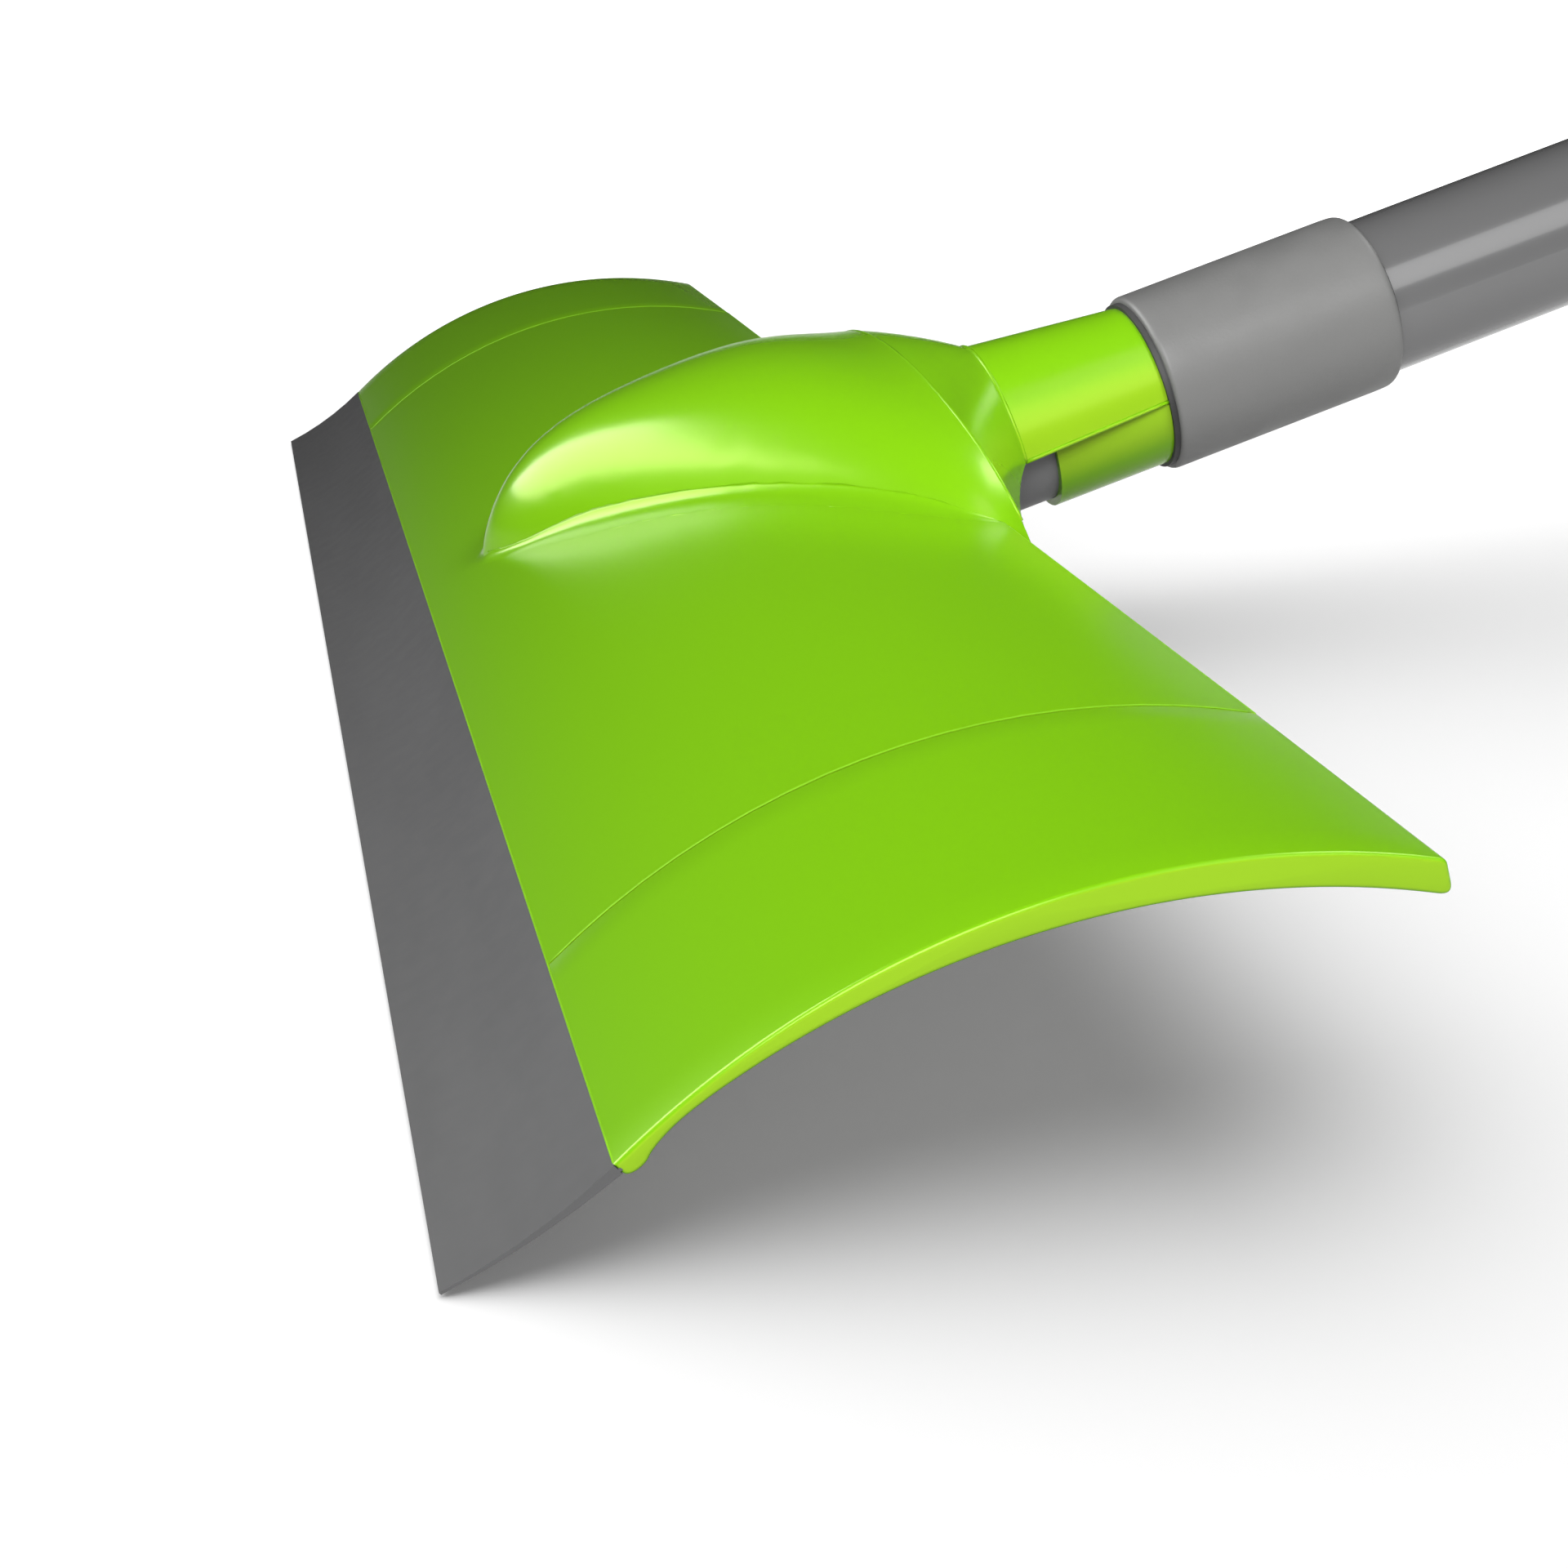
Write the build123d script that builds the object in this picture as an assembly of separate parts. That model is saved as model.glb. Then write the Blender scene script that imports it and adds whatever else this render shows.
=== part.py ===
from build123d import *
import os
from math import cos, radians, sin, sqrt

# Lengths are in millimetres and angles in degrees. The bench frame has the pole axis along Y
# and the front top edge of the head at the origin.

# Arched head.
HEAD_WIDTH = 308.0
END_LENGTH = 36.4
SEAM_GAP = 0.12
CHORD = 68.3
SAGITTA = 8.6
CHORD_FALL = 2.3
POLE_RISE = 18.0
FRONT_WALL = 1.0
MID_WALL = 2.5
REAR_WALL = 3.4
WALL_START = 4.0

# Front lip and the grip under it that hold the blade root.
LIP_ANGLE = 25.0
LIP_DEPTH = 1.5
LIP_LENGTH = 1.9
GRIP_DEPTH = 3.2
GRIP_LENGTH = 5.0
GRIP_BITE = 0.2
GRIP_BACK_BITE = 1.2

# Wiping blade.
BLADE_REACH = 15.3
BLADE_DROP = 5.05
BLADE_SAG = 0.65
BLADE_ROOT = 1.0
BLADE_EDGE = 0.25
BLADE_BELLY = 0.5
TONGUE = 0.5
TONGUE_LENGTH = 1.5
TONGUE_INSET = 0.75
TONGUE_BITE = 0.3
BULB_RADIUS = 0.7
BULB_REACH = 3.1
BULB_INSET = 1.7
BLADE_FIT = 0.04

# Hollow hump over the socket: distance back, half width and crown height of each cross-section.
AXIS_Z = -6.65
HUMP_SECTIONS = (
    (9.3, 3.0, 10.9),
    (14.0, 9.3, 17.5),
    (21.0, 15.6, 22.1),
    (31.0, 24.0, 24.4),
    (44.0, 33.4, 24.7),
    (57.0, 42.4, 22.8),
    (70.8, 43.6, 19.0),
)
SHOULDER = (75.7, 25.0, 16.5)
HUMP_WALL = 2.2
CREASE_Y = HUMP_SECTIONS[-1][0]
CREASE_LEAN = 4.6

# Neck and socket around the pole stub.
NECK_START = 80.6
NECK_END = 102.3
NECK_RADIUS = 13.6
SLEEVE_RADIUS = 11.3
SLEEVE_START = 85.6
STUB_RADIUS = 10.2
STUB_FIT = 0.05
STUB_GAP = 0.3
SOCKET_RADIUS = 12.2
SOCKET_START = 42.0
SOCKET_FLOOR = 2.0
WEB = 2.0

# Stiffening ribs under the arch and the tongues that join the end sections.
RIB_HEIGHT = 3.8
RIB_WIDTH = 1.6
RIB_START = 8.0
RIB_STOP = 64.3
RIB_COUNT = 3
RIB_CLEAR = 4.8
RIB_FOOT = 10.4
TAB_LENGTH = 14.0
TAB_ROOT = 18.2
TAB_THICK = 1.7
TAB_SPANS = ((13.0, 27.0), (41.0, 57.0))
TAB_FIT = 0.1

# Washer, collar, pole and hanging cap.
WASHER_THICK = 0.8
WASHER_RADIUS = 11.8
COLLAR_LENGTH = 33.6
COLLAR_RADIUS = 12.5
COLLAR_LIP = 2.4
COLLAR_BEVEL = 0.9
COLLAR_GAP = 0.3
POLE_RADIUS = 11.0
POLE_NECK = 10.5
POLE_BORE = 9.6
POLE_LENGTH = 440.0
POLE_FIT = 0.05
PLUG_LENGTH = 34.0
CAP_PLUG = 26.0
CAP_LENGTH = 42.0
CAP_SEAT = 8.0
CAP_RADIUS = 10.0
CAP_BEVEL = 3.3
CAP_FLAT = 8.0
EYE_RADIUS = 4.5
EYE_EDGE = 5.5

# How far joined shapes run into each other, how far cuts run past, and a length beyond every piece.
OVERLAP = 0.4
RUN_OUT = 1.0
BIG = 400.0

CENTRE_HALF = HEAD_WIDTH / 2 - END_LENGTH
RIB_INNER = HUMP_SECTIONS[-1][1] + RIB_FOOT
RIB_OUTER = CENTRE_HALF - TAB_LENGTH - RIB_CLEAR - RIB_WIDTH / 2
ARC_RADIUS = (CHORD ** 2 / 4 + SAGITTA ** 2) / (2 * SAGITTA)
FALL = radians(CHORD_FALL)
CHORD_PLANE = Plane((0, 0, 0), x_dir=(0, cos(FALL), -sin(FALL)), z_dir=(1, 0, 0))
LIP_BACK = Vector(cos(radians(LIP_ANGLE)), sin(radians(LIP_ANGLE)))
LIP_DOWN = Vector(sin(radians(LIP_ANGLE)), -cos(radians(LIP_ANGLE)))
COLLAR_START = NECK_END + WASHER_THICK
COLLAR_END = COLLAR_START + COLLAR_LENGTH
POLE_START = COLLAR_START + COLLAR_LIP
POLE_END = POLE_START + POLE_LENGTH
GRIP_START = COLLAR_END + COLLAR_GAP


def arch(u):
    """Height of the top of the arch over its chord."""
    return sqrt(ARC_RADIUS ** 2 - (u - CHORD / 2) ** 2) - (ARC_RADIUS - SAGITTA)


def under_points(drop):
    """Three points of the underside arc, lowered by drop."""
    front = (WALL_START, arch(WALL_START) - FRONT_WALL - drop)
    middle = (CHORD / 2, SAGITTA - MID_WALL - drop)
    rear = (CHORD + sin(FALL), -REAR_WALL - drop)
    return front, middle, rear


def lip(back, down):
    """Point of the lip, measured back from the front top edge and down through the lip."""
    place = LIP_BACK * back + LIP_DOWN * down
    return place.X, place.Y


def along(sketch, low, high):
    """Extrude a chord-plane sketch between two places along the head."""
    return Pos(low, 0, 0) * extrude(CHORD_PLANE * sketch, high - low)


def outline(*edges):
    """Face inside a closed run of edges."""
    return make_face(Curve() + list(edges))


def wall_sketch():
    """Cross-section of the arch, thin at the front and thicker at the rear edge."""
    front, middle, rear = under_points(0)
    edge = [(0, 0), lip(0, LIP_DEPTH), lip(LIP_LENGTH, LIP_DEPTH), front]
    top = ThreePointArc((CHORD, 0), (CHORD / 2, SAGITTA), (0, 0))
    under = ThreePointArc(front, middle, rear)
    return outline(Polyline(*edge), under, Line(rear, (CHORD, 0)), top)


def band_sketch(drop, start, stop, thick):
    """Strip under the arch between two places along the chord."""
    upper = under_points(drop)
    lower = under_points(drop + thick)
    low_arc = ThreePointArc(*lower)
    high_arc = ThreePointArc(*reversed(upper))
    strip = outline(low_arc, Line(lower[2], upper[2]), high_arc, Line(upper[0], lower[0]))
    return strip & Pos((start + stop) / 2, 0) * Rectangle(stop - start, BIG)


def over_sketch():
    """Everything over the underside of the arch."""
    front, middle, rear = under_points(0)
    sky = Polyline(rear, (BIG, rear[1]), (BIG, BIG), (front[0], BIG), front)
    return outline(ThreePointArc(front, middle, rear), sky)


def half_oval(y, half_width, height, lean=0.0):
    """Half ellipse that stands on the pole axis and leans forwards by an angle."""
    tilt = radians(lean)
    place = Plane((0, y, AXIS_Z), x_dir=(1, 0, 0), z_dir=(0, -cos(tilt), -sin(tilt)))
    crown = Edge.make_ellipse(half_width, height, place, 0, 180)
    return Face(Wire([crown, Edge.make_line(crown @ 1, crown @ 0)]))


def rod(radius, start, stop):
    """Cylinder on the pole axis between two distances."""
    return Pos(0, (start + stop) / 2, AXIS_Z) * Rot(90, 0, 0) * Cylinder(radius, stop - start)


def tube(outer, inner, start, stop):
    """Hollow cylinder on the pole axis."""
    return rod(outer, start, stop) - rod(inner, start - RUN_OUT, stop + RUN_OUT)


def hump(inset):
    """Solid hump with its skin moved in by inset, then the shoulder down to the neck."""
    hollow = inset > 0
    ovals = [half_oval(y, wide - inset, tall - inset) for y, wide, tall in HUMP_SECTIONS[:-1]]
    y, wide, tall = HUMP_SECTIONS[-1]
    crease = half_oval(y, wide - inset, tall - inset, CREASE_LEAN)
    y, wide, tall = SHOULDER
    middle = half_oval(y - inset / 2, wide - inset, tall - inset)
    neck = half_oval(NECK_START - inset, NECK_RADIUS - inset, NECK_RADIUS - inset)
    dome = loft([*ovals, crease], ruled=hollow)
    return dome + loft([crease, middle, neck], ruled=hollow)


def slot_cut():
    """Groove for the blade tongue."""
    half = TONGUE / 2 + BLADE_FIT
    back = TONGUE_LENGTH + BLADE_FIT
    corners = [(-RUN_OUT, -half), (back, -half), (back, half), (-RUN_OUT, half)]
    return make_face(Polyline(*[lip(u, TONGUE_INSET + v) for u, v in corners], close=True))


def bulb_sketch(fit):
    """Round bead at the end of the tongue, with the stem that carries it."""
    half = TONGUE / 2 + fit
    start = TONGUE_LENGTH - RUN_OUT
    stem = Polyline(lip(start, TONGUE_INSET - half), lip(BULB_REACH, BULB_INSET - half),
                    lip(BULB_REACH, BULB_INSET + half), lip(start, TONGUE_INSET + half), close=True)
    return make_face(stem) + Pos(*lip(BULB_REACH, BULB_INSET)) * Circle(BULB_RADIUS + fit)


def grip_sketch():
    """Block under the lip that holds the bead of the blade."""
    corners = [(0, LIP_DEPTH - GRIP_BITE), (0, GRIP_DEPTH), (GRIP_LENGTH, GRIP_DEPTH),
               (GRIP_LENGTH, LIP_DEPTH - GRIP_BACK_BITE)]
    return make_face(Polyline(*[lip(u, v) for u, v in corners], close=True))


def make_head_shell():
    """Middle of the arch with the hollow hump, the shoulder, the neck and the socket in one moulding."""
    half = CENTRE_HALF - SEAM_GAP / 2
    shell = along(wall_sketch(), -half, half) + along(grip_sketch(), -half, half)
    over = along(over_sketch(), -half, half)
    skin = hump(0)
    hollow = hump(HUMP_WALL)
    behind = Pos(0, CREASE_Y + BIG / 2, 0) * Box(BIG, BIG, BIG)
    shell += (skin & over) + (skin & behind)
    rib = band_sketch(-OVERLAP, RIB_START, RIB_STOP, RIB_HEIGHT + OVERLAP)
    for step in range(RIB_COUNT):
        place = RIB_INNER + (RIB_OUTER - RIB_INNER) * step / (RIB_COUNT - 1)
        shell += along(rib, place - RIB_WIDTH / 2, place + RIB_WIDTH / 2)
        shell += along(rib, -place - RIB_WIDTH / 2, RIB_WIDTH / 2 - place)
    body = shell - hollow
    webs = Pos(0, SOCKET_START, 0) * Box(WEB, BIG, BIG)
    for place in (SOCKET_START + WEB / 2, CREASE_Y - WEB):
        webs += Pos(0, place, 0) * Box(BIG, WEB, BIG)
    body += webs & hollow & over
    body += rod(SOCKET_RADIUS, SOCKET_START - SOCKET_FLOOR, CREASE_Y)
    upper = Pos(0, 0, AXIS_Z + BIG / 2) * Box(BIG, BIG * 2, BIG)
    cone = Rot(-90, 0, 0) * Cone(NECK_RADIUS, SLEEVE_RADIUS, NECK_END - NECK_START)
    body += Pos(0, (NECK_START + NECK_END) / 2, AXIS_Z) * cone & upper
    body += rod(SLEEVE_RADIUS, SLEEVE_START, NECK_END)
    body -= rod(STUB_RADIUS + STUB_FIT, SOCKET_START, NECK_END + RUN_OUT)
    return body - along(slot_cut(), -BIG / 2, BIG / 2) - along(bulb_sketch(BLADE_FIT), -BIG / 2, BIG / 2)


def make_end_section(side):
    """End of the arch, with two tongues that reach under the middle moulding."""
    low = CENTRE_HALF + SEAM_GAP / 2
    high = HEAD_WIDTH / 2
    piece = along(wall_sketch(), low, high) - along(slot_cut(), low - RUN_OUT, high + RUN_OUT)
    for start, stop in TAB_SPANS:
        piece += along(band_sketch(TAB_FIT, start, stop, TAB_THICK), low - TAB_LENGTH, low + TAB_ROOT)
        piece += along(band_sketch(-OVERLAP, start, stop, TAB_FIT + 2 * OVERLAP), low, low + TAB_ROOT)
    return piece if side > 0 else mirror(piece, about=Plane.YZ)


def blade_foot():
    """Lower corner of the wiping edge, in the chord plane."""
    return lip(0, BLADE_EDGE)[0] - BLADE_REACH, lip(0, BLADE_EDGE)[1] - BLADE_DROP


def make_wiper_blade():
    """Curved flap, the tongue in the lip's groove and the bead in the middle moulding."""
    tip = (-BLADE_REACH, -BLADE_DROP)
    root = lip(0, BLADE_ROOT)
    middle = (-BLADE_REACH / 2, -BLADE_DROP / 2 - BLADE_SAG)
    upper = ThreePointArc((0, 0), middle, tip)
    lower = ThreePointArc(blade_foot(), (middle[0], middle[1] - BLADE_BELLY), root)
    flap = outline(upper, Line(tip, blade_foot()), lower, Line(root, (0, 0)))
    half = TONGUE / 2
    corners = [(-TONGUE_BITE, 0), (0, -half), (TONGUE_LENGTH, -half), (TONGUE_LENGTH, half), (0, 0)]
    tongue = make_face(Polyline(*[lip(u, TONGUE_INSET + v) for u, v in corners], close=True))
    reach = HEAD_WIDTH / 2
    blade = along(flap, -reach, reach) + along(tongue, -reach, reach)
    bead = CENTRE_HALF - SEAM_GAP
    return blade + along(bulb_sketch(0), -bead, bead)


def make_pole_adapter():
    """Stub that screws into the socket, with a plug that is pressed into the pole."""
    stub = rod(STUB_RADIUS, SOCKET_START + STUB_GAP, POLE_START)
    return stub + rod(POLE_BORE - POLE_FIT, POLE_START, POLE_START + PLUG_LENGTH)


def make_collar():
    """Sleeve over the necked end of the pole, with bevelled lips."""
    body = rod(COLLAR_RADIUS, COLLAR_START, COLLAR_END)
    body = chamfer(body.edges().filter_by(GeomType.CIRCLE), COLLAR_BEVEL)
    body -= rod(STUB_RADIUS + POLE_FIT, COLLAR_START - RUN_OUT, COLLAR_END)
    return body - rod(POLE_NECK + POLE_FIT, POLE_START, COLLAR_END + RUN_OUT)


def make_pole_tube():
    """Hollow pole, necked where it goes into the collar."""
    body = rod(POLE_NECK, POLE_START, POLE_END) + rod(POLE_RADIUS, GRIP_START, POLE_END)
    return body - rod(POLE_BORE, POLE_START - RUN_OUT, POLE_END + RUN_OUT)


def make_hanging_cap():
    """Plug for the pole's far end, with a flat tongue and a hanging eye."""
    stop = POLE_END + CAP_LENGTH
    plug = rod(POLE_BORE - POLE_FIT, POLE_END - CAP_PLUG, POLE_END + POLE_FIT)
    body = rod(CAP_RADIUS, POLE_END + POLE_FIT, stop)
    body = chamfer(body.edges().filter_by(GeomType.CIRCLE).sort_by(Axis.Y)[-1], CAP_BEVEL)
    beyond = Pos(0, POLE_END + CAP_SEAT + BIG / 2, AXIS_Z)
    body -= beyond * (Box(BIG, BIG, BIG) - Box(CAP_FLAT, BIG, BIG))
    eye = Pos(0, stop - EYE_RADIUS - EYE_EDGE, AXIS_Z) * Rot(0, 90, 0) * Cylinder(EYE_RADIUS, BIG)
    return plug + body - eye


# The wiping edge goes to the origin and the pole rises from the floor towards +Y.
foot = CHORD_PLANE.from_local_coords((*blade_foot(), 0))
raised = (Rot(POLE_RISE, 0, 0) * Pos(foot.X, foot.Y, foot.Z)).position
POSE = Pos(0, -raised.Y, -raised.Z) * Rot(POLE_RISE, 0, 0)

pieces = {
    "head_shell": make_head_shell(),
    "end_section_right": make_end_section(1),
    "end_section_left": make_end_section(-1),
    "wiper_blade": make_wiper_blade(),
    "thrust_washer": tube(WASHER_RADIUS, STUB_RADIUS + POLE_FIT, NECK_END, COLLAR_START),
    "pole_adapter": make_pole_adapter(),
    "collar": make_collar(),
    "pole_tube": make_pole_tube(),
    "hanging_cap": make_hanging_cap(),
}
os.makedirs("parts", exist_ok=True)
for name, shape in pieces.items():
    export_step(POSE * shape, f"parts/{name}.step")
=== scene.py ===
import math
import bpy
import bmesh
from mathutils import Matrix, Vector
from mathutils.bvhtree import BVHTree

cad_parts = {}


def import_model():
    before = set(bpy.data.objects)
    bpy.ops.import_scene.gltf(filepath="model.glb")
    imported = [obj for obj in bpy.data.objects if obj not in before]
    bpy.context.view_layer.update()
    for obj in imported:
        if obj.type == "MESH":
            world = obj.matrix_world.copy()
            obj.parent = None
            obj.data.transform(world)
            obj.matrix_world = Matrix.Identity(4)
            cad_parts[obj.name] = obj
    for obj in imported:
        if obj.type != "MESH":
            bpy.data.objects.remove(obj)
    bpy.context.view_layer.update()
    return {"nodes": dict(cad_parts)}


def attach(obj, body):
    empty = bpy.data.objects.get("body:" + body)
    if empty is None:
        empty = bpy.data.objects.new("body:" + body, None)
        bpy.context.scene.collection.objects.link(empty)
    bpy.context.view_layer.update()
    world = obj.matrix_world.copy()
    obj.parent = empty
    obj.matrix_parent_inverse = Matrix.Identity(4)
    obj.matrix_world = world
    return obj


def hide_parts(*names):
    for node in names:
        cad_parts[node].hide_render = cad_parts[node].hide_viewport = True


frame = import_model()
nodes = frame["nodes"]
scene = bpy.context.scene
scene.view_settings.view_transform = "Standard"

# Bench frame of the part, in millimetres from the front top edge of the head:
# X along the head, Y along the pole, Z up from the pole.
RISE = math.radians(18.0)
SHIFT = Vector((0.0, 13.199, 9.190))
AXIS_Z = -6.65
ABOVE = 60.0

# Arch of the head in its chord plane, as in the solids.
HALF_WIDTH = 154.0
JOINT = 117.6
SEAM_GAP = 0.12
CHORD = 68.3
SAGITTA = 8.6
CHORD_FALL = math.radians(2.3)
FRONT_WALL = 1.0
MID_WALL = 2.5
REAR_WALL = 3.4
WALL_START = 4.0
REAR_FOOT = 68.34
LIP_LEAN = math.radians(25.0)

# Tongues of the end sections under the middle of the head: spans along the chord, reach,
# root, clearance and thickness.
TAB_SPANS = ((13.0, 27.0), (41.0, 57.0))
TAB_LENGTH = 14.0
TAB_ROOT = 18.2
TAB_FIT = 0.1
TAB_THICK = 1.7

# Rounding of the outer edge of an end and of its edge at the joint.
END_OVER = 0.03
END_SOFT = 0.40
JOINT_SOFT = 0.15

# Fine raised line at a joint: distance in from the joint, half width, height and sinking.
SEAM_IN = 0.16
SEAM_HALF = 0.14
SEAM_TALL = 0.11
SEAM_SUNK = 0.03

# Crease behind the hump and the neck behind it.
CREASE_Y = 70.8
CREASE_HALF = 43.4
CREASE_TALL = 18.8
CREASE_LEAN = math.radians(4.6)
CREASE_BEAD = 0.28
HUMP_HALF = 46.0
NECK_START = 80.6
NECK_LENGTH = 21.7
NECK_RADIUS = 13.6
NECK_TAPER = 2.3
NECK_BEAD = 0.30
EDGE_BEAD = 0.10

# Fillet at the foot of the hump: where it runs and how far it reaches out and up.
FILLET_START = 9.6
FILLET_STOP = 68.1
FILLET_FADE = 67.9
FILLET_OUT = 4.5
FILLET_UP = 1.9
FILLET_SUNK = 0.015

# Collar over the end of the pole.
COLLAR_START = 103.1
COLLAR_STOP = 136.7
COLLAR_RADIUS = 12.5
COLLAR_BORE = 10.55
COLLAR_THROAT = 10.25
COLLAR_SEAT = 105.5

# Stub with its screw thread.
STUB_START = 42.3
STUB_CHAMFER = 0.6
STUB_PLUG = ((105.5, 10.15), (105.5, 9.55), (138.6, 9.55), (139.3, 8.9))
THREAD_CREST = 10.2
THREAD_ROOT = 9.2
THREAD_PITCH = 5.0
THREAD_START = 45.0
THREAD_STOP = 77.0
THREAD_FADE = 3.0


def turned(x, y, z):
    """Bench direction in the row frame."""
    cos, sin = math.cos(RISE), math.sin(RISE)
    return Vector((x, y * cos - z * sin, y * sin + z * cos))


def world(x, y, z):
    """Bench millimetres to the row frame in metres."""
    return (turned(x, y, z) + SHIFT) / 1000


# Materials. Every one is made of nodes, with its pattern in the object's own coordinates.
class Shader:
    """A Principled material with short names for the nodes that the finishes share."""

    def __init__(self, name, colour, rough, **sockets):
        self.mat = bpy.data.materials.new(name)
        self.mat.use_nodes = True
        self.tree = self.mat.node_tree
        self.bsdf = self.tree.nodes["Principled BSDF"]
        self.colour = colour
        self.set("Base Color", (*colour, 1.0))
        self.set("Roughness", rough)
        for key, value in sockets.items():
            self.set(key.replace("_", " "), value)
        self.place = self.node("ShaderNodeTexCoord")

    def node(self, kind, **values):
        made = self.tree.nodes.new(kind)
        for key, value in values.items():
            setattr(made, key, value)
        return made

    def set(self, socket, value):
        self.bsdf.inputs[socket].default_value = value

    def link(self, out, into):
        self.tree.links.new(out, into)

    def noise(self, scale, detail=3.0, stretch=(1, 1, 1)):
        place = self.node("ShaderNodeMapping")
        place.inputs["Scale"].default_value = stretch
        self.link(self.place.outputs["Object"], place.inputs["Vector"])
        made = self.node("ShaderNodeTexNoise")
        made.inputs["Scale"].default_value = scale
        made.inputs["Detail"].default_value = detail
        self.link(place.outputs["Vector"], made.inputs["Vector"])
        return made.outputs["Fac"]

    def sideways(self):
        """How far a face looks along the head, from 0 to 1."""
        parts = self.node("ShaderNodeSeparateXYZ")
        self.link(self.place.outputs["Normal"], parts.inputs["Vector"])
        size = self.node("ShaderNodeMath", operation="ABSOLUTE")
        self.link(parts.outputs["X"], size.inputs[0])
        return size.outputs["Value"]

    def spread(self, fac, low, high, start=0.3, stop=0.7):
        """A soft step from low to high while fac goes from start to stop."""
        made = self.node("ShaderNodeMapRange", interpolation_type="SMOOTHSTEP")
        made.inputs["From Min"].default_value = start
        made.inputs["From Max"].default_value = stop
        made.inputs["To Min"].default_value = low
        made.inputs["To Max"].default_value = high
        self.link(fac, made.inputs["Value"])
        return made.outputs["Result"]

    def tint(self, fac, other, start=0.3, stop=0.7):
        """Colour that goes on from what the base has now to another one with a pattern."""
        made = self.node("ShaderNodeMix", data_type="RGBA")
        base = self.bsdf.inputs["Base Color"]
        if base.is_linked:
            self.link(base.links[0].from_socket, made.inputs[6])
        else:
            made.inputs[6].default_value = (*self.colour, 1.0)
        made.inputs[7].default_value = (*other, 1.0)
        self.link(self.spread(fac, 0.0, 1.0, start, stop), made.inputs["Factor"])
        self.link(made.outputs[2], base)

    def neutral_bounce(self):
        """Light that comes off the piece onto other things is grey."""
        bounced = self.node("ShaderNodeLightPath").outputs["Is Diffuse Ray"]
        self.tint(bounced, (0.30, 0.30, 0.30), 0.0, 1.0)

    def rough(self, fac, low, high):
        self.link(self.spread(fac, low, high), self.bsdf.inputs["Roughness"])

    def bump(self, fac, strength, depth=0.0001):
        made = self.node("ShaderNodeBump")
        made.inputs["Strength"].default_value = strength
        made.inputs["Distance"].default_value = depth
        self.link(fac, made.inputs["Height"])
        self.link(made.outputs["Normal"], self.bsdf.inputs["Normal"])


def green_plastic():
    s = Shader("lime_moulding", (0.175, 0.450, 0.0045), 0.28, IOR=1.46)
    s.set("Specular Tint", (1.0, 1.0, 0.36, 1.0))
    s.tint(s.noise(9.0, 0.0), (0.166, 0.434, 0.0040))
    # Painted light: faces that look along the head, such as the end faces, are coloured lighter and
    # yellower, as if a warmer lamp lit them.
    s.tint(s.sideways(), (0.250, 0.470, 0.012), 0.80, 0.98)
    s.neutral_bounce()
    s.rough(s.noise(7.0, 0.0), 0.21, 0.24)
    return s.mat


def lit_edge_plastic():
    """The green, dull and a little lighter, for edges and lines too fine to carry a reflection; the
    lighter colour is painted light along them.
    """
    s = Shader("lime_edge_painted_light", (0.190, 0.460, 0.0060), 0.55, Specular_IOR_Level=0.1)
    s.tint(s.noise(9.0, 0.0), (0.180, 0.445, 0.0055))
    s.neutral_bounce()
    return s.mat


def blade_rubber():
    s = Shader("blade_rubber", (0.092, 0.092, 0.093), 0.6, Specular_IOR_Level=0.03)
    s.tint(s.noise(25.0, stretch=(1, 6, 6)), (0.098, 0.098, 0.099))
    s.rough(s.noise(300.0), 0.52, 0.66)
    s.bump(s.noise(1800.0, 2.0), 0.05)
    return s.mat


def black_rubber():
    s = Shader("washer_rubber", (0.03, 0.03, 0.03), 0.6)
    s.tint(s.noise(80.0), (0.05, 0.05, 0.05))
    s.bump(s.noise(1500.0), 0.2)
    return s.mat


def grey_plastic(name, colour, light, rough):
    s = Shader(name, colour, rough)
    s.tint(s.noise(30.0), light)
    s.rough(s.noise(200.0), rough - 0.05, rough + 0.05)
    s.bump(s.noise(2500.0, 2.0), 0.25)
    return s.mat


def pole_enamel():
    s = Shader("pole_enamel", (0.166, 0.166, 0.167), 0.22, Coat_Weight=0.5, Coat_Roughness=0.08)
    s.tint(s.noise(12.0, 0.0), (0.176, 0.176, 0.177))
    s.rough(s.noise(20.0, 0.0), 0.18, 0.22)
    return s.mat


green = green_plastic()
lit_edge_green = lit_edge_plastic()
adapter_grey = grey_plastic("adapter_plastic", (0.180, 0.180, 0.182), (0.195, 0.195, 0.197), 0.45)
collar_grey = grey_plastic("collar_plastic", (0.200, 0.200, 0.197), (0.215, 0.215, 0.211), 0.5)
finishes = {
    "head_shell": green,
    "end_section_left": green,
    "end_section_right": green,
    "wiper_blade": blade_rubber(),
    "thrust_washer": black_rubber(),
    "pole_adapter": adapter_grey,
    "collar": collar_grey,
    "pole_tube": pole_enamel(),
    "hanging_cap": collar_grey,
}
for name, finish in finishes.items():
    nodes[name].data.materials.clear()
    nodes[name].data.materials.append(finish)


# New pieces.
def steps(low, high, count):
    """Evenly spaced values from low to high."""
    return [low + (high - low) * k / count for k in range(count + 1)]


def clamp(value, low=0.0, high=1.0):
    return min(high, max(low, value))


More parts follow.
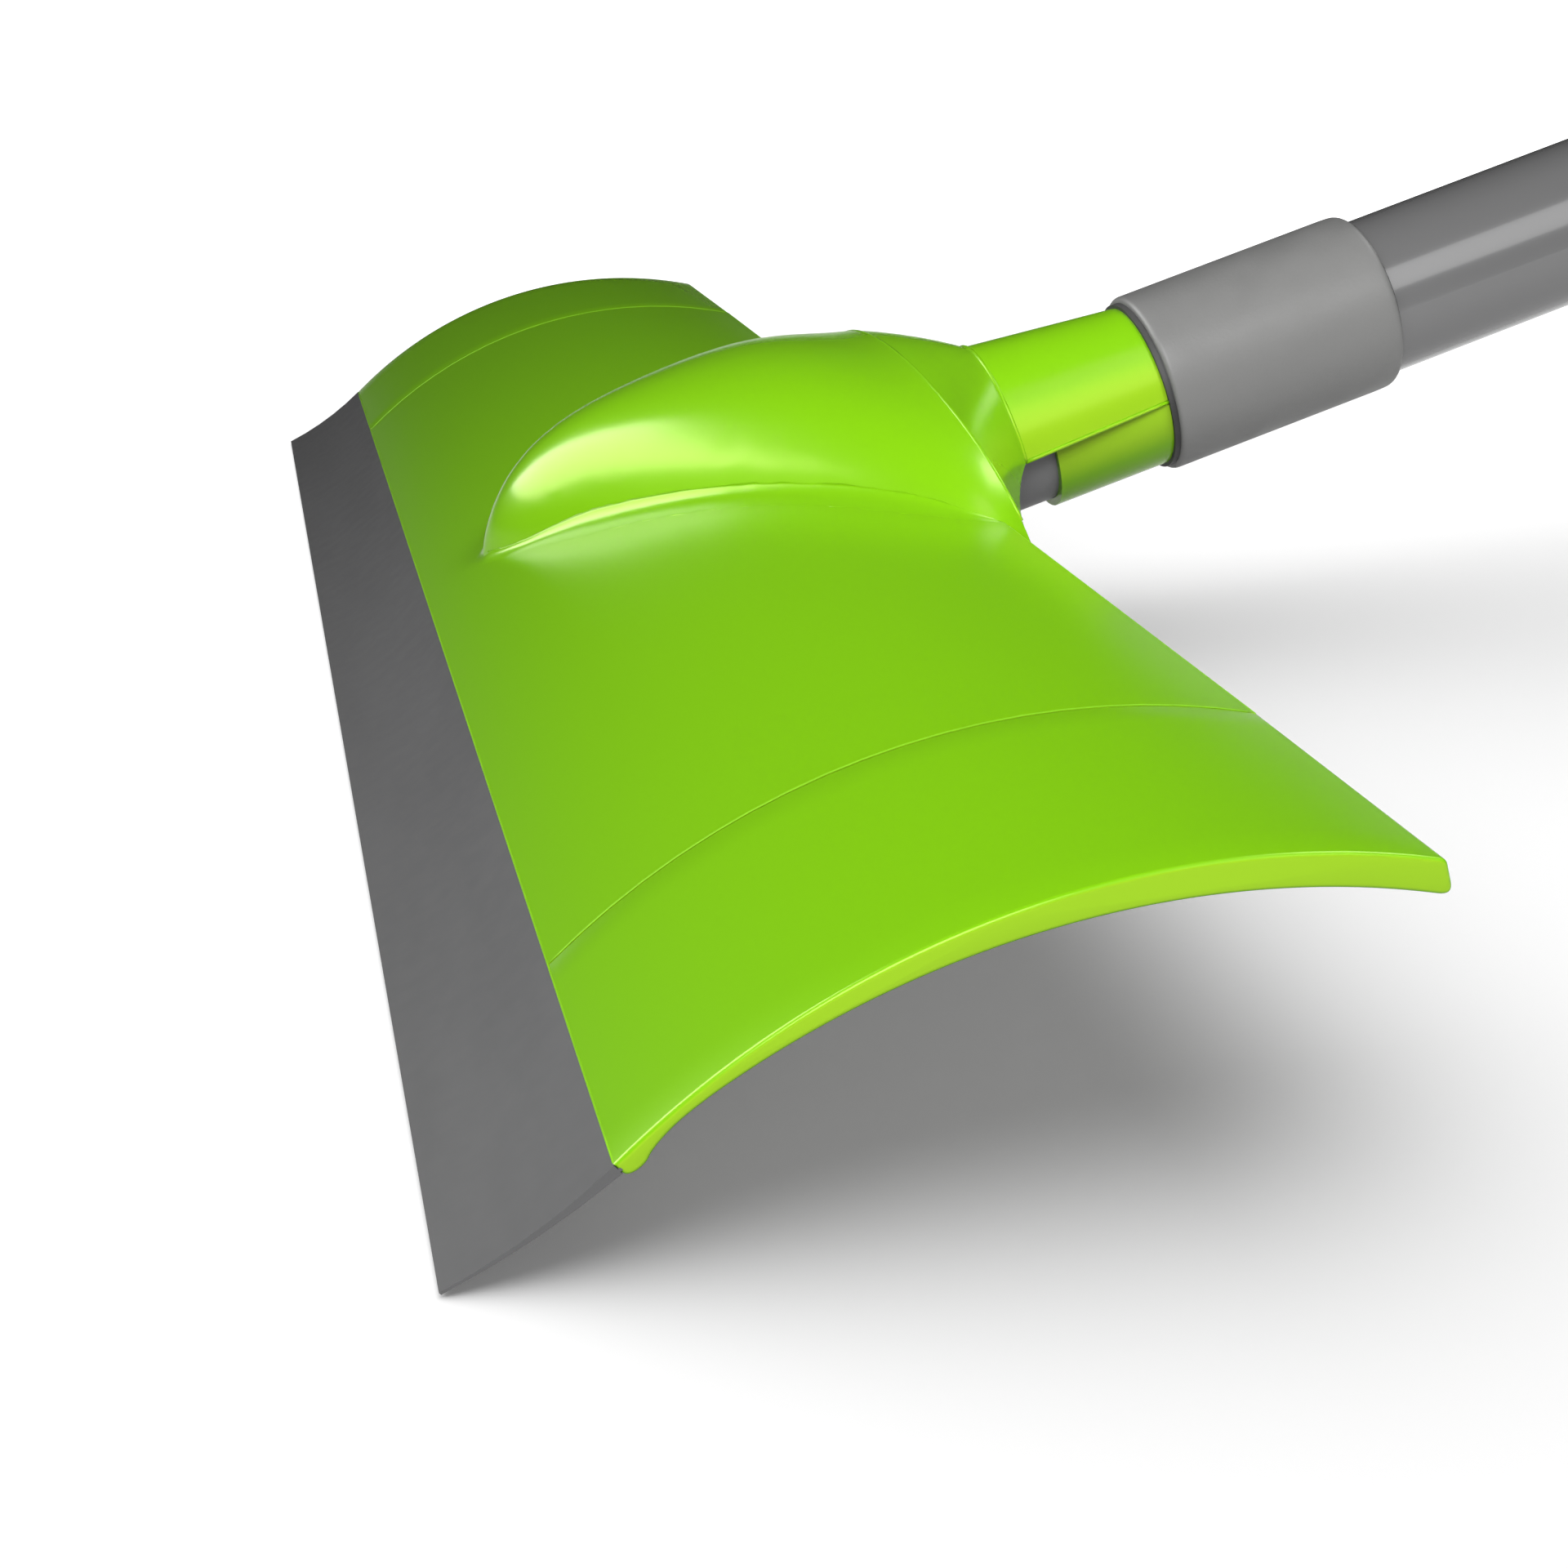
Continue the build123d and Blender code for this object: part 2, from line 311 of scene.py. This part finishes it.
def piece(name, bm, material, body, stands_for=None):
    """Turn a bmesh into a smooth piece of a body."""
    bmesh.ops.recalc_face_normals(bm, faces=bm.faces)
    mesh = bpy.data.meshes.new(name)
    bm.to_mesh(mesh)
    bm.free()
    mesh.materials.append(material)
    for face in mesh.polygons:
        face.use_smooth = True
    made = bpy.data.objects.new(name, mesh)
    scene.collection.objects.link(made)
    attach(made, body)
    if stands_for:
        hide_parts(stands_for)


def head_piece(name, bm, material, stands_for=None):
    piece(name, bm, material, "head", stands_for)


def skin(bm, rows, caps=True):
    """Faces between rows of points, each of which closes on itself."""
    rings = [[bm.verts.new(point) for point in row] for row in rows]
    for low, high in zip(rings, rings[1:]):
        for i in range(len(low)):
            j = (i + 1) % len(low)
            bm.faces.new((low[i], low[j], high[j], high[i]))
    if caps:
        bm.faces.new(rings[0])
        bm.faces.new(rings[-1])


def around(y, radius, segments=96):
    """Points round the pole axis; the radius is a function of the angle."""
    points = []
    for i in range(segments):
        a = 2 * math.pi * i / segments
        points.append(world(radius(a) * math.cos(a), y, AXIS_Z + radius(a) * math.sin(a)))
    return points


def lathe(profile, segments=128):
    """Rows of points for a closed profile of (place along the pole, radius) turned about it."""
    rows = []
    for i in range(segments):
        a = 2 * math.pi * i / segments
        rows.append([world(r * math.cos(a), y, AXIS_Z + r * math.sin(a)) for y, r in profile])
    return rows + [rows[0]]


def bend(first, corner, last, count):
    """Rounded corner of a run of points."""
    points = []
    for t in steps(0.0, 1.0, count):
        shares = (1 - t) ** 2, 2 * t * (1 - t), t ** 2
        points.append(tuple(sum(s * v for s, v in zip(shares, values))
                            for values in zip(first, corner, last)))
    return points


def rounded(corners):
    """Profile with rounded corners; each corner is (place, radius, rounding)."""
    points = []
    count = len(corners)
    for i, (y, r, size) in enumerate(corners):
        here = Vector((y, r))
        if not size:
            points.append((y, r))
            continue
        before = (Vector(corners[i - 1][:2]) - here).normalized() * size
        after = (Vector(corners[(i + 1) % count][:2]) - here).normalized() * size
        points += bend(here + before, here, here + after, 6)
    return points


# Collar with rolled lips, over the necked end of the pole.
collar_corners = [
    (COLLAR_START, COLLAR_THROAT, 0.2), (COLLAR_START, COLLAR_RADIUS, 0.8),
    (COLLAR_START + 2.2, COLLAR_RADIUS, 0), (COLLAR_STOP - 2.6, COLLAR_RADIUS, 0.4),
    (COLLAR_STOP, COLLAR_RADIUS - 0.08, 1.2), (COLLAR_STOP, COLLAR_BORE, 0.3),
    (COLLAR_SEAT, COLLAR_BORE, 0), (COLLAR_SEAT, COLLAR_THROAT, 0)]
bm = bmesh.new()
skin(bm, lathe(rounded(collar_corners)), caps=False)
bmesh.ops.remove_doubles(bm, verts=bm.verts, dist=1e-7)
piece("collar_moulding", bm, collar_grey, "pole", "collar")


# Stub with its coarse screw thread, plain where it shows under the neck.
def thread_radius(y, angle):
    """Radius of the stub at a place: the crest, less the groove of the thread."""
    turn = ((y / THREAD_PITCH - angle / (2 * math.pi)) % 1.0) * 2 - 1
    wave = clamp((abs(turn) - 0.35) / 0.3)
    fade = clamp((y - THREAD_START) / THREAD_FADE) * clamp((THREAD_STOP - y) / THREAD_FADE)
    return THREAD_CREST - (THREAD_CREST - THREAD_ROOT) * wave * fade


rows = [around(STUB_START, lambda a: thread_radius(STUB_START, a) - STUB_CHAMFER)]
stations = [STUB_START + 0.05] + [STUB_START + 0.5 + 0.2 * i for i in range(178)]
for y in stations + [79.0, 82.0, 86.0, 95.0, 104.0, 105.45]:
    rows.append(around(y, lambda a: thread_radius(y, a)))
for y, r in STUB_PLUG:
    rows.append(around(y, lambda a: r))
bm = bmesh.new()
skin(bm, rows)
piece("screw_stub", bm, adapter_grey, "pole", "pole_adapter")

# Soft fillet where the hump rises from the arch, laid on the solid's own surface.
shell = nodes["head_shell"]
bm = bmesh.new()
bm.from_mesh(shell.data)
bm.transform(shell.matrix_world)
tree = BVHTree.FromBMesh(bm)
bm.free()
DOWN = turned(0, 0, -1)


def height(x, y):
    """Bench height of the head's top at a place."""
    start = world(x, y, ABOVE)
    hit = tree.ray_cast(start, DOWN)[0]
    return ABOVE - (hit - start).length * 1000 if hit else None


def foot_of_hump(y, flat):
    """Half width of the hump where it meets the arch."""
    low, high = 0.0, 70.0
    for _ in range(40):
        middle = (low + high) / 2
        top = height(middle, y)
        if top is not None and top > flat + 0.02:
            low = middle
        else:
            high = middle
    return low


def fillet_row(x, y, out):
    """Section of the fillet at a foot point, with out pointing away from the hump."""
    grow = clamp((y - FILLET_START) / 14, 0.4) * clamp((FILLET_FADE - y) / 9) ** 0.7
    wide, short = 0.15 + FILLET_OUT * grow, 0.1 + FILLET_UP * grow
    base = height(x + out.x * 0.02, y + out.y * 0.02)
    probe = 0.6
    climb = max(0.0, height(x - out.x * probe, y - out.y * probe) - base)
    inward = short * math.cos(math.atan2(climb, probe))
    outer = (x + out.x * wide, y + out.y * wide)
    inner = (x - out.x * inward, y - out.y * inward)
    outer_z, inner_z = height(*outer), height(*inner)
    if outer_z is None or inner_z is None:
        return None
    curve = bend((*outer, outer_z - FILLET_SUNK), (x, y, base), (*inner, inner_z - FILLET_SUNK), 8)
    return [world(*p) for p in curve + [(x - out.x * 0.3, y - out.y * 0.3, base - 0.3)]]


path = []
for i in range(70):
    y = FILLET_START + (FILLET_STOP - FILLET_START) * (i / 69) ** 1.2
    path.append((foot_of_hump(y, height(80.0, y)), y))
feet = [(-x, y) for x, y in reversed(path)] + path
rows = []
for i, (x, y) in enumerate(feet):
    a, b = feet[max(i - 1, 0)], feet[min(i + 1, len(feet) - 1)]
    run = Vector((b[0] - a[0], b[1] - a[1])).normalized()
    row = fillet_row(x, y, Vector((run.y, -run.x)))
    if row:
        rows.append(row)
bm = bmesh.new()
skin(bm, rows)
head_piece("hump_fillet", bm, green)


# Fine round edges.
def bead(name, runs, radius, material):
    """Fine round edge along runs of bench points."""
    bm = bmesh.new()
    for run in runs:
        points = [world(*p) for p in run]
        rows = []
        for i, here in enumerate(points):
            way = (points[min(i + 1, len(points) - 1)] - points[max(i - 1, 0)]).normalized()
            side = way.orthogonal() if not rows else side - way * side.dot(way)
            side = side.normalized()
            other = way.cross(side)
            rows.append([here + (side * math.cos(a) + other * math.sin(a)) * radius / 1000
                         for a in (2 * math.pi * k / 8 for k in range(8))])
        skin(bm, rows)
    head_piece(name, bm, material)


def arch_point(x, u, v=0.0):
    """Bench point from a place along the chord and a height over it."""
    cos, sin = math.cos(CHORD_FALL), math.sin(CHORD_FALL)
    return x, u * cos + v * sin, v * cos - u * sin


def arch_top(u):
    """Height of the top of the arch over its chord."""
    radius = (CHORD ** 2 / 4 + SAGITTA ** 2) / (2 * SAGITTA)
    return math.sqrt(radius ** 2 - (u - CHORD / 2) ** 2) - (radius - SAGITTA)


crease = []
for degrees in steps(9.0, 171.0, 60):
    up = CREASE_TALL * math.sin(math.radians(degrees))
    crease.append((CREASE_HALF * math.cos(math.radians(degrees)),
                   CREASE_Y - up * math.sin(CREASE_LEAN), AXIS_Z + up * math.cos(CREASE_LEAN)))
neck_ring = [(NECK_RADIUS * math.cos(a), NECK_START, AXIS_Z + NECK_RADIUS * math.sin(a))
             for a in steps(0.0, math.pi, 40)]
skirts = [[(side * (NECK_RADIUS - NECK_TAPER * t), NECK_START + NECK_LENGTH * t, AXIS_Z)
           for t in steps(0.0, 1.0, 10)] for side in (1, -1)]
rears = [[arch_point(side * x, CHORD - 0.06, -0.05) for x in steps(HUMP_HALF, JOINT, 20)]
         for side in (1, -1)]
fronts = [[arch_point(x, 0.05) for x in steps(0.4 - HALF_WIDTH, HALF_WIDTH - 0.4, 60)]]
bead("crease_edge", [crease], CREASE_BEAD, green)
bead("neck_edges", [neck_ring] + skirts, NECK_BEAD, green)
# The front and rear edges are in the dull, lighter green: painted light along them.
bead("outer_edges", rears + fronts, EDGE_BEAD, lit_edge_green)


# End sections again, with the soft edges of their outer ends and the round nose of the lip.
def lip_point(back, down):
    """Chord-plane point of the lip, back from the front top edge and down through the lip."""
    cos, sin = math.cos(LIP_LEAN), math.sin(LIP_LEAN)
    return back * cos + down * sin, back * sin - down * cos


def arc_through(a, b, c):
    """Height along the arc through three points of the chord plane."""
    (ax, ay), (bx, by), (cx, cy) = a, b, c
    twice = 2 * (ax * (by - cy) + bx * (cy - ay) + cx * (ay - by))
    aa, bb, cc = ax * ax + ay * ay, bx * bx + by * by, cx * cx + cy * cy
    ox = (aa * (by - cy) + bb * (cy - ay) + cc * (ay - by)) / twice
    oy = (aa * (cx - bx) + bb * (ax - cx) + cc * (bx - ax)) / twice
    radius = math.hypot(ax - ox, ay - oy)
    return lambda u: oy + math.sqrt(radius ** 2 - (u - ox) ** 2)


def under(drop):
    """Underside of the arch, lowered by drop."""
    return arc_through((WALL_START, arch_top(WALL_START) - FRONT_WALL - drop),
                       (CHORD / 2, SAGITTA - MID_WALL - drop), (REAR_FOOT, -REAR_WALL - drop))


def softened(points, rounds=2):
    """Profile run with its inner corners cut again and again; its ends stay."""
    for _ in range(rounds):
        made = [points[0]]
        for a, b in zip(points, points[1:]):
            for t in (0.25, 0.75):
                made.append(tuple((1 - t) * p + t * q for p, q in zip(a, b)))
        points = made + [points[-1]]
    return points


def inset(profile, size):
    """Closed clockwise profile moved inwards by a size."""
    made = []
    count = len(profile)
    for i, here in enumerate(profile):
        here = Vector(here)
        way_in = (here - Vector(profile[i - 1])).normalized()
        way_out = (Vector(profile[(i + 1) % count]) - here).normalized()
        first, last = Vector((way_in.y, -way_in.x)), Vector((way_out.y, -way_out.x))
        made.append(here + (first + last) * size / (1 + first.dot(last)))
    return made


low_side = under(0.0)


def end_profile(soft):
    """Cross-section of an end, its rear corners sharp at the joint and soft at the outer end."""
    above, below = 0.1 + 0.45 * soft, 0.1 + 1.25 * soft
    heel = REAR_FOOT - below
    points = [(u, arch_top(u)) for u in steps(0.0, 67.6, 70)]
    points += bend((CHORD - above, arch_top(CHORD - above)), (CHORD, 0.0), (CHORD + 0.005, -above), 8)
    points += bend((68.33, below - REAR_WALL), (REAR_FOOT, -REAR_WALL), (heel, low_side(heel)), 8)
    points += [(u, low_side(u)) for u in steps(66.5, 9.0, 60)]
    return points + softened([
        (8.5, low_side(8.5)), (6.3, low_side(6.3) - 0.05), (4.6, low_side(4.6) - 0.25),
        lip_point(2.7, 1.35), lip_point(1.9, 1.75), lip_point(0.75, 1.75), lip_point(0.0, 1.35),
        lip_point(0.0, 0.5)])


def end_moulding(side, name, stands_for):
    start, end = JOINT + SEAM_GAP / 2, HALF_WIDTH + END_OVER
    soft_start = end - END_SOFT
    stations = [(start + JOINT_SOFT * (1 - math.cos(a)), JOINT_SOFT * (1 - math.sin(a)))
                for a in steps(0.0, math.pi / 2, 4)]
    stations += [(x, 0.0) for x in steps(start, soft_start, 8)[1:-1]]
    stations += [(end - END_SOFT * (1 - math.sin(a)), END_SOFT * (1 - math.cos(a)))
                 for a in steps(0.0, math.pi / 2, 6)]
    rows = []
    for x, size in stations:
        profile = inset(end_profile(min(1.0, (x - start) / (soft_start - start))), size)
        rows.append([world(*arch_point(side * x, u, v)) for u, v in profile])
    bm = bmesh.new()
    skin(bm, rows)
    tongue = (start - TAB_LENGTH, start, TAB_FIT, TAB_THICK)
    root = (start, start + TAB_ROOT, -0.1, TAB_THICK + TAB_FIT + 0.1)
    for span in TAB_SPANS:
        for inner, outer, drop, thick in (tongue, root):
            top, foot = under(drop), under(drop + thick)
            places = steps(*span, 12)
            band = [(u, top(u)) for u in places] + [(u, foot(u)) for u in reversed(places)]
            skin(bm, [[world(*arch_point(side * x, u, v)) for u, v in band] for x in (inner, outer)])
    bmesh.ops.recalc_face_normals(bm, faces=bm.faces)
    bm.normal_update()
    for edge in bm.edges:
        edge.smooth = edge.calc_face_angle(0.0) < math.radians(40)
    head_piece(name, bm, green, stands_for)


def seam(side, name):
    """Fine raised line on the middle of the head, beside an end section."""
    rows = []
    for y in steps(0.35, 67.6, 80):
        top = height(side * (JOINT - 0.6), y) - SEAM_SUNK
        rows.append([world(side * (JOINT - SEAM_IN) + SEAM_HALF * math.cos(a), y,
                           top + SEAM_TALL * math.sin(a)) for a in steps(0.0, math.pi, 8)])
    bm = bmesh.new()
    skin(bm, rows)
    # The raised line is in the dull, lighter green: painted light along it.
    head_piece(name, bm, lit_edge_green)


end_moulding(1, "end_moulding_right", "end_section_right")
end_moulding(-1, "end_moulding_left", "end_section_left")
seam(1, "seam_line_right")
seam(-1, "seam_line_left")


# Floor, light and camera.
def floor_material():
    """White floor that keeps its shadow, lifted a little for the camera and clear from below."""
    s = Shader("floor", (0.91, 0.91, 0.91), 0.9, Specular_IOR_Level=0.0)
    s.tint(s.noise(3.0), (0.90, 0.90, 0.90))
    s.set("Emission Color", (1, 1, 1, 1))
    away = s.node("ShaderNodeVectorMath", operation="DISTANCE")
    away.inputs[1].default_value = (0.06, 0.08, 0.0)
    s.link(s.place.outputs["Object"], away.inputs[0])
    lift = s.node("ShaderNodeMath", operation="MULTIPLY")
    s.link(s.spread(away.outputs["Value"], 0.15, 0.90, 0.20, 0.70), lift.inputs[0])
    s.link(s.node("ShaderNodeLightPath").outputs["Is Camera Ray"], lift.inputs[1])
    s.link(lift.outputs["Value"], s.bsdf.inputs["Emission Strength"])
    both = s.node("ShaderNodeMixShader")
    s.link(s.node("ShaderNodeNewGeometry").outputs["Backfacing"], both.inputs["Fac"])
    s.link(s.bsdf.outputs["BSDF"], both.inputs[1])
    s.link(s.node("ShaderNodeBsdfTransparent").outputs["BSDF"], both.inputs[2])
    s.link(both.outputs["Shader"], s.tree.nodes["Material Output"].inputs["Surface"])
    return s.mat


FLOOR = 30.0
mesh = bpy.data.meshes.new("floor")
mesh.from_pydata([(-FLOOR, -FLOOR, 0), (FLOOR, -FLOOR, 0), (FLOOR, FLOOR, 0), (-FLOOR, FLOOR, 0)],
                 [], [(0, 1, 2, 3)])
floor = bpy.data.objects.new("floor", mesh)
scene.collection.objects.link(floor)
floor.location.z = -0.0003
mesh.materials.append(floor_material())


def aim(thing, way):
    """Point a light or the camera along a direction."""
    thing.rotation_mode = "QUATERNION"
    thing.rotation_quaternion = Vector(way).to_track_quat("-Z", "Y")


def lamp(name, place, target, size, power, diffuse=True, glossy=True):
    """Square area light."""
    data = bpy.data.lights.new(name, "AREA")
    data.shape = "SQUARE"
    data.size = size
    data.energy = power
    made = bpy.data.objects.new(name, data)
    scene.collection.objects.link(made)
    made.location = place
    made.visible_diffuse = diffuse
    made.visible_glossy = glossy
    aim(made, Vector(target) - Vector(place))
    return made


def only(lights, name, things, state):
    """Let lights reach some things alone, or all but those."""
    group = bpy.data.collections.new(name)
    for thing in things:
        group.objects.link(thing)
    for held in group.collection_objects:
        held.light_linking.link_state = state
    for made in lights:
        made.light_linking.receiver_collection = group


sheen = lamp("sheen", (-0.38, -0.83, 0.77), (0.0, 0.04, 0.03), 0.90, 28.0, diffuse=False)
front = lamp("front", (0.22, -0.30, 0.30), (0.06, 0.03, 0.03), 0.20, 0.50, glossy=False)
strip = lamp("strip", (0.50, 0.33, 0.42), (0.01, 0.16, 0.054), 0.34, 1.1, diffuse=False)
neck = lamp("neck", (0.20, 0.22, 0.40), (0.02, 0.10, 0.03), 0.12, 0.11, glossy=False)
neck.data.spread = math.radians(50)
key = lamp("key", (0.42, -0.06, 0.33), (0.08, 0.04, 0.02), 0.24, 2.6)
back = lamp("back", (-0.15, 0.75, 0.95), (0.0, 0.09, 0.03), 0.35, 0.5)
glint = lamp("glint", (-0.16, 0.72, 0.94), (0.0, 0.09, 0.03), 0.36, 3.6, diffuse=False)
grazing = lamp("low", (0.27, -0.14, 0.16), (0.08, -0.005, 0.005), 0.10, 0.40, glossy=False)
sun = bpy.data.objects.new("overhead", bpy.data.lights.new("overhead", "SUN"))
sun.data.energy = 3.0
sun.data.angle = math.radians(105)
aim(sun, (0.27, 0.30, -0.90))
scene.collection.objects.link(sun)

blade = nodes["wiper_blade"]
grey_things = [nodes["pole_tube"], bpy.data.objects["collar_moulding"], bpy.data.objects["screw_stub"]]
only([sheen, strip, key, glint], "not_on_floor", [floor], "EXCLUDE")
only([front, back], "not_on_blade", [floor, blade], "EXCLUDE")
only([grazing], "on_blade", [blade], "INCLUDE")
only([neck], "head_only", [floor] + grey_things, "EXCLUDE")
only([sun], "on_floor", [floor], "INCLUDE")

# White surroundings: full for the camera, dim for shading and nearly dark in reflections.
world_data = bpy.data.worlds.new("studio")
scene.world = world_data
world_data.use_nodes = True
world_nodes = world_data.node_tree.nodes
world_link = world_data.node_tree.links.new


def surroundings(strength):
    made = world_nodes.new("ShaderNodeBackground")
    made.inputs["Color"].default_value = (1, 1, 1, 1)
    made.inputs["Strength"].default_value = strength
    return made.outputs["Background"]


def chosen(ray, other, this):
    """One shader for a kind of ray and another for the rest."""
    made = world_nodes.new("ShaderNodeMixShader")
    world_link(ray, made.inputs["Fac"])
    world_link(other, made.inputs[1])
    world_link(this, made.inputs[2])
    return made.outputs["Shader"]


rays = world_nodes.new("ShaderNodeLightPath").outputs
lit = chosen(rays["Is Glossy Ray"], surroundings(0.12), surroundings(0.02))
seen = chosen(rays["Is Camera Ray"], lit, surroundings(1.0))
world_nodes.remove(world_nodes["Background"])
world_link(seen, world_nodes["World Output"].inputs["Surface"])

camera = bpy.data.objects.new("camera", bpy.data.cameras.new("camera"))
scene.collection.objects.link(camera)
camera.data.sensor_width = 36.0
camera.data.lens = 54.14
camera.data.clip_start = 0.01
camera.location = (0.30707, -0.00945, 0.09651)
aim(camera, (-0.91336, 0.21258, -0.34725))
scene.camera = camera
